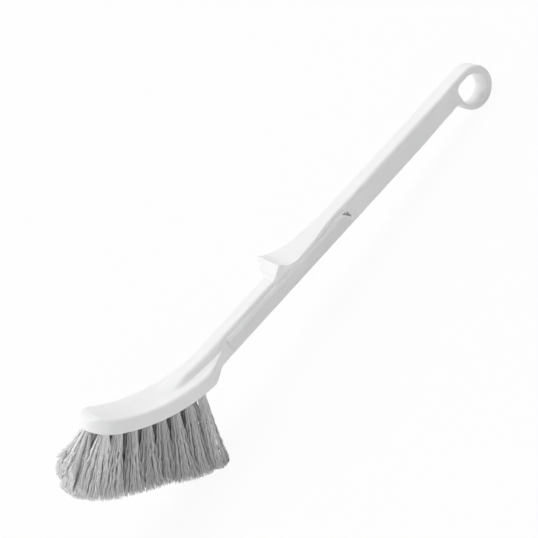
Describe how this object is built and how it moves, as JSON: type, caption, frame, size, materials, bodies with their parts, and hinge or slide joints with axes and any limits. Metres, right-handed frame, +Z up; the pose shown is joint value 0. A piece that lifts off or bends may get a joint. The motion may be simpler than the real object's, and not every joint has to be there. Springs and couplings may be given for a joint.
{
  "type": "long-handled cleaning brush",
  "caption": "Cleaning brush with a curved head full of bristle tufts, a long bar handle with a flared thumb rest, and a hanging loop.",
  "frame": {"origin": "Centre of the bounding box at floor level. The brush stands bristles down, on the tips of its last tufts and on the rim of its loop.", "axes": "+X from the bristles at the nose to the hanging loop, +Z up, and Y across the brush with the left row of tufts at -Y"},
  "size_m": [0.3696, 0.0317, 0.0951],
  "materials": {
    "body": "satin white polypropylene moulding",
    "bristle": "grey crimped filament",
    "wire": "drawn flat wire"
  },
  "bodies": {
    "root": {"handle_and_head": "body", "tuft_left_1": "bristle", "tuft_left_2": "bristle", "tuft_left_3": "bristle", "tuft_left_4": "bristle", "tuft_left_5": "bristle", "tuft_left_6": "bristle", "tuft_left_7": "bristle", "tuft_left_8": "bristle", "tuft_middle_1": "bristle", "tuft_middle_2": "bristle", "tuft_middle_3": "bristle", "tuft_middle_4": "bristle", "tuft_middle_5": "bristle", "tuft_middle_6": "bristle", "tuft_middle_7": "bristle", "tuft_nose": "bristle", "tuft_right_1": "bristle", "tuft_right_2": "bristle", "tuft_right_3": "bristle", "tuft_right_4": "bristle", "tuft_right_5": "bristle", "tuft_right_6": "bristle", "tuft_right_7": "bristle", "tuft_right_8": "bristle", "anchor_left_1": "wire", "anchor_left_2": "wire", "anchor_left_3": "wire", "anchor_left_4": "wire", "anchor_left_5": "wire", "anchor_left_6": "wire", "anchor_left_7": "wire", "anchor_left_8": "wire", "anchor_middle_1": "wire", "anchor_middle_2": "wire", "anchor_middle_3": "wire", "anchor_middle_4": "wire", "anchor_middle_5": "wire", "anchor_middle_6": "wire", "anchor_middle_7": "wire", "anchor_nose": "wire", "anchor_right_1": "wire", "anchor_right_2": "wire", "anchor_right_3": "wire", "anchor_right_4": "wire", "anchor_right_5": "wire", "anchor_right_6": "wire", "anchor_right_7": "wire", "anchor_right_8": "wire"}
  },
  "joints": []
}
